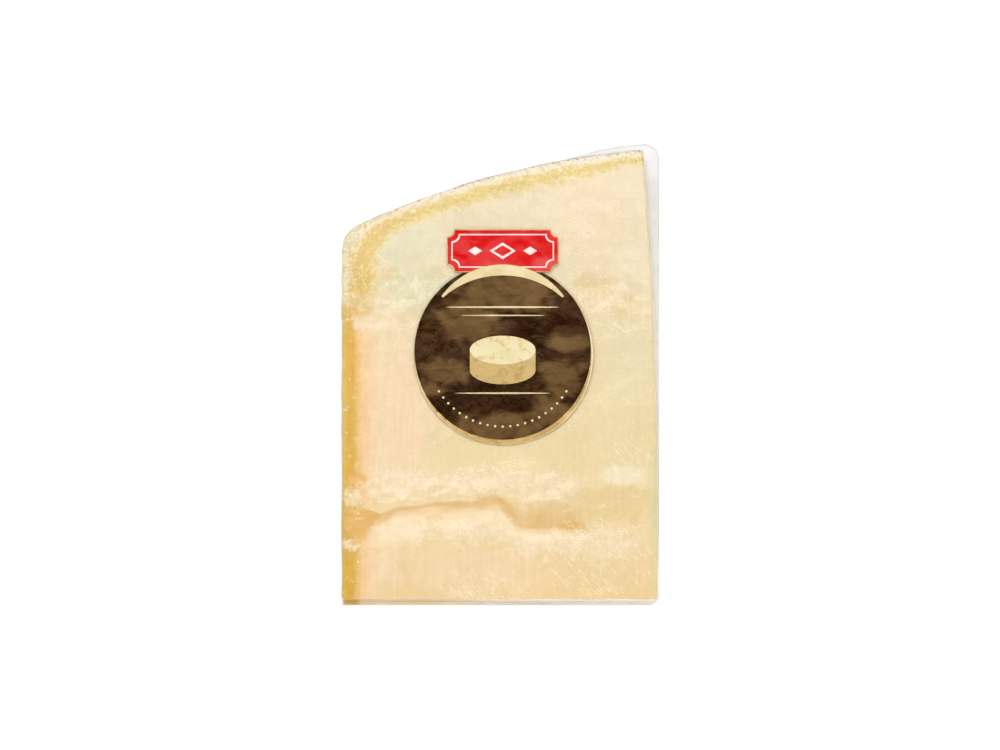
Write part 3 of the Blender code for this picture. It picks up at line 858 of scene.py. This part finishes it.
def flange_sides(steps=24):
    """The flange's edge as four lines of points (x, distance from the axis), each split at mid corner."""
    rind_edge = []
    for n in range(steps + 1):
        x = blend(FLANGE_RIGHT_X_AT_RIND, FLANGE_LEFT_X, n / steps)
        beyond = blend(*FLANGE_BEYOND_RIND, smooth_step(0.0, FLANGE_WIDENS_OVER_X, x))
        body_x = min(max(x, FLAT_RIND_X + RIND_CORNER_RADIUS), middle_cut_x(1.0))
        rind_edge.append(Vector((x, barrel_radius(body_x) + beyond)))
    tip_edge = tip_radius(0.0) - FLANGE_BEYOND_TIP
    tip_left = Vector((FLANGE_LEFT_X, tip_edge))
    tip_right = Vector((FLANGE_RIGHT_X_AT_TIP, tip_edge))
    corners = (
        (tip_left, rind_edge[-1], tip_right),
        (tip_right, tip_left, rind_edge[0]),
        (rind_edge[0], tip_right, rind_edge[1]),
        (rind_edge[-1], rind_edge[-2], tip_left),
    )
    arcs = [rounded_corner(*corner, radius) for corner, radius in zip(corners, FLANGE_CORNERS)]
    middles = [[], [], rind_edge[2:-2], []]
    sides = {}
    for n, name in enumerate(("tip", "right", "rind", "left")):
        here, following = arcs[n], arcs[(n + 1) % 4]
        half_arc = len(here) // 2
        sides[name] = here[half_arc:] + middles[n] + following[: half_arc + 1]
    return sides


def along_line(points, share):
    """The point at this share of a line's length."""
    lengths = [(after - before).length for before, after in zip(points, points[1:])]
    wanted = share * sum(lengths)
    for before, after, length in zip(points, points[1:], lengths):
        if wanted <= length:
            return before.lerp(after, wanted / length)
        wanted -= length
    return points[-1]


def film_profile():
    """Steps from mid-plane to the front edge: (share of the wall, drop below its foot, out, fillet).

    The last two are shares of the way out over the flange and of the fillet's reach.
    """
    steps = [(0.0, -FILM_FILLET - FLANGE_HALF_THICKNESS, 1.0, 0.0)]
    for n in range(FILM_FLANGE_STEPS):
        steps.append((0.0, -FILM_FILLET, 1 - n / FILM_FLANGE_STEPS, 0.0))
    for n in range(FILM_FILLET_STEPS):
        turn = math.pi / 2 * (1 - n / FILM_FILLET_STEPS)
        steps.append((0.0, -FILM_FILLET * math.sin(turn), 0.0, 1 - math.cos(turn)))
    for share in spaced(FILM_WALL_STEPS, lambda t: 1 + 4.0 * bump(t, 1.0, 0.15)):
        steps.append((share, 0.0, 0.0, 0.0))
    return steps


def film_haze(x, height, out, fillet):
    """How hazy the film is: 0 on the walls, up to 1 on the flange, and between the two on the fillet."""
    seen = smooth_step(*HAZE_STARTS_OVER_X, x)
    if height > RIND_HAZE_ABOVE:
        seen *= smooth_step(*RIND_HAZE_STARTS_OVER_X, x)
    if out:
        return seen
    if height < TIP_HAZE_BELOW:
        fillet **= blend(0.15, 1.0, smooth_step(*TIP_HAZE_TURNS_OVER_X, x))
    return seen * fillet


def build_film():
    columns = spaced(FILM_COLUMNS, crowded_edges(5.0, 0.02))
    rows = spaced(FILM_ROWS, crowded_rows)
    profile = film_profile()
    half_layers = len(profile) - 1
    sides = flange_sides()

    def edge_point(a, b):
        if b == 0.0:
            return along_line(sides["tip"], a)
        if b == 1.0:
            return along_line(sides["rind"], 1 - a)
        return along_line(sides["right"], b) if a == 1.0 else along_line(sides["left"], 1 - b)

    edges, reaches = {}, {}

    def at(i, j, k):
        a, b = columns[i], rows[j]
        if k in (0, 2 * half_layers):
            return wedge_point(a, b, 1.0 if k else -1.0)
        side = 1 if k >= half_layers else -1
        share, drop, out, fillet = profile[abs(k - half_layers)]
        foot = wedge_point(a, b, 0.0)
        half_arc = foot.y * WEDGE_ANGLE / 2
        level = blend(FILM_FILLET + FLANGE_HALF_THICKNESS, half_arc, share) + drop
        point = wedge_point(a, b, side * level / half_arc)
        if out == 0.0 and fillet == 0.0:
            return point
        if (i, j) not in edges:
            edges[i, j] = edge_point(a, b)
        edge = edges[i, j]
        reach = math.hypot(edge.x - foot.x, edge.y - foot.y)
        fillet_share = min(FILM_FILLET / reach, 0.5)
        way = fillet_share * fillet if out == 0.0 else blend(fillet_share, 1.0, out)
        pucker = waves(Vector((edge.x, edge.y, 0.0)), FLANGE_PUCKERS) * way
        reaches[i, j, k] = way * reach
        return Vector((blend(foot.x, edge.x, way), blend(foot.y, edge.y, way), side * level + pucker))

    shape = (FILM_COLUMNS, FILM_ROWS, 2 * half_layers)
    mesh, corners = surface_grid(shape, at)
    mesh.normal_update()
    zones = {"flange": [], "reach": []}
    for (i, j, k), vertex in corners.items():
        x, radius = vertex.co.x, math.hypot(vertex.co.y, vertex.co.z)
        height = radius - TIP_RADIUS
        share, drop, out, fillet = profile[abs(k - half_layers)]
        if k == shape[2]:
            move = film_height(x, height)
        elif k > 0 and not out and not fillet:
            move = waves(vertex.co, BARREL_WAVES if j == FILM_ROWS else SIDE_WAVES)
            move += waves(vertex.co, FILM_WALL_WRINKLES) * (1 - share)
        else:
            move = 0.0
        zones["flange"].append(film_haze(x, height, out, fillet))
        zones["reach"].append(reaches.get((i, j, k), 0.0))
        vertex.co += vertex.normal * move
    mesh.transform(to_world())
    piece = add_piece("film", mesh, [film_material()], zones)
    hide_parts("sealed_pack")


def ellipse(radius_x, radius_y, centre, sides=64):
    turns = [2 * math.pi * n / sides for n in range(sides)]
    return [(centre[0] + radius_x * math.cos(t), centre[1] + radius_y * math.sin(t)) for t in turns]


def circle(radius, centre=(0.0, 0.0), sides=120):
    return ellipse(radius, radius, centre, sides)


def lozenge(centre, half_width, half_height):
    x, y = centre
    return [(x + half_width, y), (x, y + half_height), (x - half_width, y), (x, y - half_height)]


def plaque_outline(inset=0.0, steps=8):
    """A rectangle whose corners are scooped out by quarter circles, anticlockwise."""
    half_x, half_y = PLAQUE_SIZE[0] / 2 - inset, PLAQUE_SIZE[1] / 2 - inset
    points = []
    for sign_x, sign_y, start in ((-1, -1, 90), (1, -1, 180), (1, 1, 270), (-1, 1, 0)):
        for n in range(steps + 1):
            turn = math.radians(start - 90 * n / steps)
            x = sign_x * half_x + PLAQUE_SCOOP * math.cos(turn)
            y = PLAQUE_CENTRE_Y + sign_y * half_y + PLAQUE_SCOOP * math.sin(turn)
            points.append((x, y))
    return points


def band_outline(steps=40):
    """A strip that follows the top of the round field, thinner towards its two ends."""
    middle = sum(BAND_RADII) / 2
    half_width = (BAND_RADII[1] - BAND_RADII[0]) / 2
    outer, inner = [], []
    for n in range(steps + 1):
        turn = blend(BAND_HALF_ANGLE, -BAND_HALF_ANGLE, n / steps)
        swell = blend(BAND_END_WIDTH, 1.0, math.cos(turn / BAND_HALF_ANGLE * math.pi / 2))
        for points, radius in ((outer, middle + half_width * swell), (inner, middle - half_width * swell)):
            points.append((radius * math.sin(turn), radius * math.cos(turn)))
    return outer + inner[::-1]


def wheel_motif_outline(sides=32):
    """A small drawn cheese wheel: the side wall and the lid seen from above, as one field."""
    radius_x, radius_y = WHEEL_MOTIF_RADII
    points = []
    for half_turn, side in ((0.0, 1), (math.pi, -1)):
        centre = WHEEL_MOTIF_CENTRE_Y + side * WHEEL_MOTIF_DEPTH / 2
        for n in range(sides + 1):
            turn = half_turn + math.pi * n / sides
            points.append((radius_x * math.cos(turn), centre + radius_y * math.sin(turn)))
    return points


def tapered_rule(y, half_length, half_height, steps=24):
    """A long thin line with pointed ends."""
    lower = [(blend(-half_length, half_length, n / steps), n / steps) for n in range(steps + 1)]
    points = [(x, y - half_height * math.sin(math.pi * share) ** 0.5) for x, share in lower]
    points += [(x, y + half_height * math.sin(math.pi * share) ** 0.5) for x, share in lower[-2:0:-1]]
    return points


def finer(outline, step):
    """The outline with extra points, so that none are further apart than step."""
    points = []
    for (x0, y0), (x1, y1) in zip(outline, outline[1:] + outline[:1]):
        count = max(1, math.ceil(math.hypot(x1 - x0, y1 - y0) / step))
        points += [(blend(x0, x1, n / count), blend(y0, y1, n / count)) for n in range(count)]
    return points


def add_field(mesh, outline, layer, material_index, painted_reflection):
    """Adds a thin closed sheet that follows the film's wrinkles, and lists how much painted reflection its
    points get.
    """
    border = finer(outline, LABEL_CELL)
    spans = [range(int(min(v) / LABEL_CELL) - 1, int(max(v) / LABEL_CELL) + 2) for v in zip(*border)]
    inner = []
    for m in spans[0]:
        for n in spans[1]:
            point = Vector((m * LABEL_CELL, n * LABEL_CELL))
            if min((point - Vector(p)).length for p in border) > 0.5 * LABEL_CELL:
                inner.append(point)
    points = [Vector(p) for p in border] + inner
    found = geometry.delaunay_2d_cdt(points, [], [list(range(len(border)))], 1, 1e-7)
    flat, triangles = found[0], found[2]

    def raised(level):
        made = []
        for p in flat:
            x, height = p[0] + LABEL_X, p[1] + LABEL_HEIGHT_ON_FACE
            above = film_height(x, height) + LABEL_LIFT + level * LABEL_LAYER
            made.append(mesh.verts.new(on_face(x, height, above)))
            painted_reflection.append(spots(x, height, PAINTED_REFLECTION_SPOTS))
        return made

    top, low = raised(layer), raised(layer - 0.8)
    edges = {}
    for a, b, c in triangles:
        turned = (flat[b] - flat[a]).cross(flat[c] - flat[a]) < 0
        ring = [a, c, b] if turned else [a, b, c]
        mesh.faces.new([top[n] for n in ring]).material_index = material_index
        mesh.faces.new([low[n] for n in ring[::-1]]).material_index = material_index
        for start, end in zip(ring, ring[1:] + ring[:1]):
            edges[start, end] = True
    for start, end in edges:
        if (end, start) not in edges:
            wall = mesh.faces.new([top[end], top[start], low[start], low[end]])
            wall.material_index = material_index


def build_label():
    """A plain printed label: dark round field, gold rim and rules, red plaque, and a small cheese wheel.

    Each field is an outline, the layer that it lies on and its ink.
    """
    inks = {
        "gold": ink("gold", (0.64, 0.51, 0.26), 0.34, metallic=0.1),
        "rim": ink("rim", (0.50, 0.32, 0.10), 0.34, metallic=0.3),
        # The veil colours of the dark and red inks are painted reflections of the film's gloss
        "dark": ink(
            "dark", (0.018, 0.004, 0.001), 0.2,
            shine=0.14, tint=(1.0, 0.62, 0.30), veil=(0.144, 0.078, 0.028),
        ),
        "red": ink("red", (0.66, 0.003, 0.004), 0.2, shine=0.12, veil=(0.72, 0.075, 0.07)),
        "cream": ink("cream", (0.76, 0.65, 0.36), 0.35, mottles=(0.60, 0.38, 0.08)),
        "tan": ink("tan", (0.56, 0.38, 0.12), 0.35, mottles=(0.40, 0.20, 0.03)),
        "margin": ink("margin", (0.76, 0.62, 0.36), 0.3),
        "white": ink("white", (0.80, 0.70, 0.64), 0.3),
    }
    lid = (0.0, WHEEL_MOTIF_CENTRE_Y + WHEEL_MOTIF_DEPTH / 2)
    fields = [
        (circle(RIM_RADIUS, RIM_SHIFT), 0, "tan"),
        (circle(RIM_RADIUS - 0.2 * MM, RIM_SHIFT), 1, "margin"),
        (circle(RIM_RADIUS - 0.8 * MM, (0.35 * MM, -1.8 * MM)), 2, "rim"),
        (circle(DISC_RADIUS), 3, "dark"),
        (plaque_outline(-0.3 * MM), 3.5, "rim"),
        (plaque_outline(), 4, "red"),
        (plaque_outline(1.3 * MM), 5, "white"),
        (plaque_outline(1.75 * MM), 6, "red"),
        (lozenge((0.0, PLAQUE_CENTRE_Y), 4.6 * MM, 2.9 * MM), 7, "white"),
        (lozenge((0.0, PLAQUE_CENTRE_Y), 3.3 * MM, 1.9 * MM), 8, "red"),
        (band_outline(), 9, "gold"),
        (wheel_motif_outline(), 4, "tan"),
        (ellipse(*WHEEL_MOTIF_RADII, lid), 5, "cream"),
    ]
    fields += [(tapered_rule(*rule), 4, "gold") for rule in TAPERED_RULES]
    for side in (-1, 1):
        fields.append((lozenge((side * 9.6 * MM, PLAQUE_CENTRE_Y), 2.4 * MM, 1.5 * MM), 7, "white"))
    for n in range(DOTS):
        turn = blend(-DOT_ARC_HALF_ANGLE, DOT_ARC_HALF_ANGLE, n / (DOTS - 1))
        centre = (DOT_ARC_RADIUS * math.sin(turn), -DOT_ARC_RADIUS * math.cos(turn))
        fields.append((circle(DOT_RADIUS, centre, 12), 4, "cream"))
    mesh = bmesh.new()
    names = list(inks)
    painted_reflection = []
    for outline, layer, name in fields:
        add_field(mesh, outline, layer, names.index(name), painted_reflection)
    piece = add_piece("printed_label", mesh, list(inks.values()), {"painted_reflection": painted_reflection})
    piece.data.set_sharp_from_angle(angle=math.radians(50))
    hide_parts("label")


def build_floor():
    mesh = bmesh.new()
    bmesh.ops.create_grid(mesh, x_segments=1, y_segments=1, size=FLOOR_HALF_SIZE)
    floor = add_mesh("floor", mesh)
    floor.location.z = -FLOOR_DROP
    n = Nodes("white_floor")
    white = n.add("BsdfDiffuse", {"Color": (0.5, 0.5, 0.5, 1.0)})
    glow = n.add("Emission", {"Color": (1.0, 1.0, 1.0, 1.0), "Strength": FLOOR_GLOW})
    floor.data.materials.append(n.finish(n.add("AddShader", {0: white, 1: glow})))


def build_lights():
    """Soft area lights that aim at the middle of the front face, in an evenly lit room."""
    target = on_face(0.0, AIM_HEIGHT)
    away = on_face(0.0, 0.0, 1.0) - on_face(0.0, 0.0)
    up = on_face(0.0, 1.0) - on_face(0.0, 0.0)
    right = Vector((1.0, 0.0, 0.0))
    for name, shares, distance, size, power in LIGHTS:
        light = bpy.data.lights.new(name, "AREA")
        light.shape = "RECTANGLE"
        light.size, light.size_y = size
        light.energy = power
        holder = add_object(name, light)
        direction = (shares[0] * away + shares[1] * up + shares[2] * right).normalized()
        holder.location = target + direction * distance
        holder.rotation_euler = direction.to_track_quat("Z", "Y").to_euler()
    world = bpy.data.worlds.new("soft_room")
    world.use_nodes = True
    background = world.node_tree.nodes["Background"]
    background.inputs["Color"].default_value = (1.0, 1.0, 1.0, 1.0)
    background.inputs["Strength"].default_value = ROOM_LIGHT
    bpy.context.scene.world = world


def build_camera():
    """Straight above the middle of the front face, at the distance that gives the photograph's scale."""
    lens = bpy.data.cameras.new("camera")
    lens.lens = CAMERA_LENS_MM
    lens.sensor_width = CAMERA_SENSOR_MM
    lens.clip_end = 20.0
    seen_width = PHOTO_WIDTH * SCALE_ON_FACE
    distance = seen_width * CAMERA_LENS_MM / CAMERA_SENSOR_MM
    camera = add_object("camera", lens)
    camera.location = on_face(AIM_X, AIM_HEIGHT, distance)
    camera.rotation_euler = (WEDGE_ANGLE, 0.0, 0.0)
    bpy.context.scene.camera = camera


build_camera()
build_cheese()
build_film()
build_label()
build_floor()
build_lights()
bpy.context.scene.view_settings.view_transform = "Standard"
